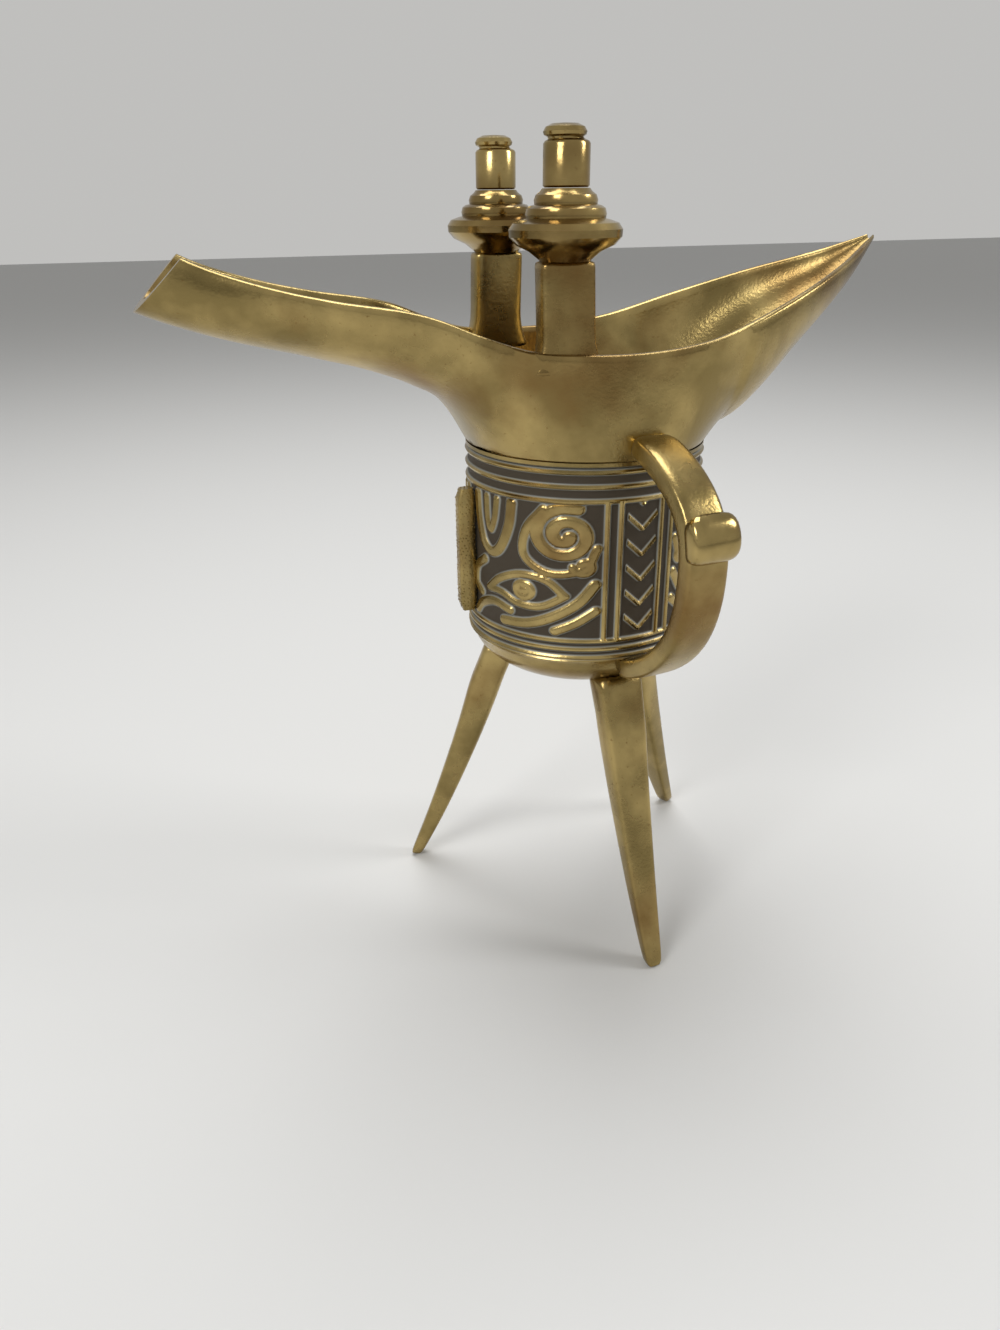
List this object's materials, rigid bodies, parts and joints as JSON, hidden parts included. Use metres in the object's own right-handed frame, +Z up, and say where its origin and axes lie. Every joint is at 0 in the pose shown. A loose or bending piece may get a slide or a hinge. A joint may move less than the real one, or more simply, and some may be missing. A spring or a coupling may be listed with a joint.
{
  "type": "jue wine vessel",
  "caption": "Cast brass jue: a cup on curved blade legs with an open spout, a pointed tail, a strap handle and rim posts with finials.",
  "frame": {"origin": "middle of the footprint of the whole object, at the height of the feet", "axes": "+Z up, +X from the spout towards the tail, -Y on the handle's side"},
  "size_m": [0.1502, 0.078, 0.1651],
  "materials": {
    "cast_brass": "polished cast brass with tarnish and dark recesses",
    "polished_brass": "turned and polished brass"
  },
  "bodies": {
    "root": {"cup_body": "cast_brass", "mouth_shell": "cast_brass", "front_leg": "cast_brass", "left_leg": "cast_brass", "right_leg": "cast_brass", "handle_band": "cast_brass", "thumb_rest": "polished_brass", "near_post": "cast_brass", "near_finial": "polished_brass", "near_knob": "polished_brass", "far_post": "cast_brass", "far_finial": "polished_brass", "far_knob": "polished_brass", "spout_flange": "cast_brass", "tail_flange": "cast_brass"}
  },
  "joints": []
}
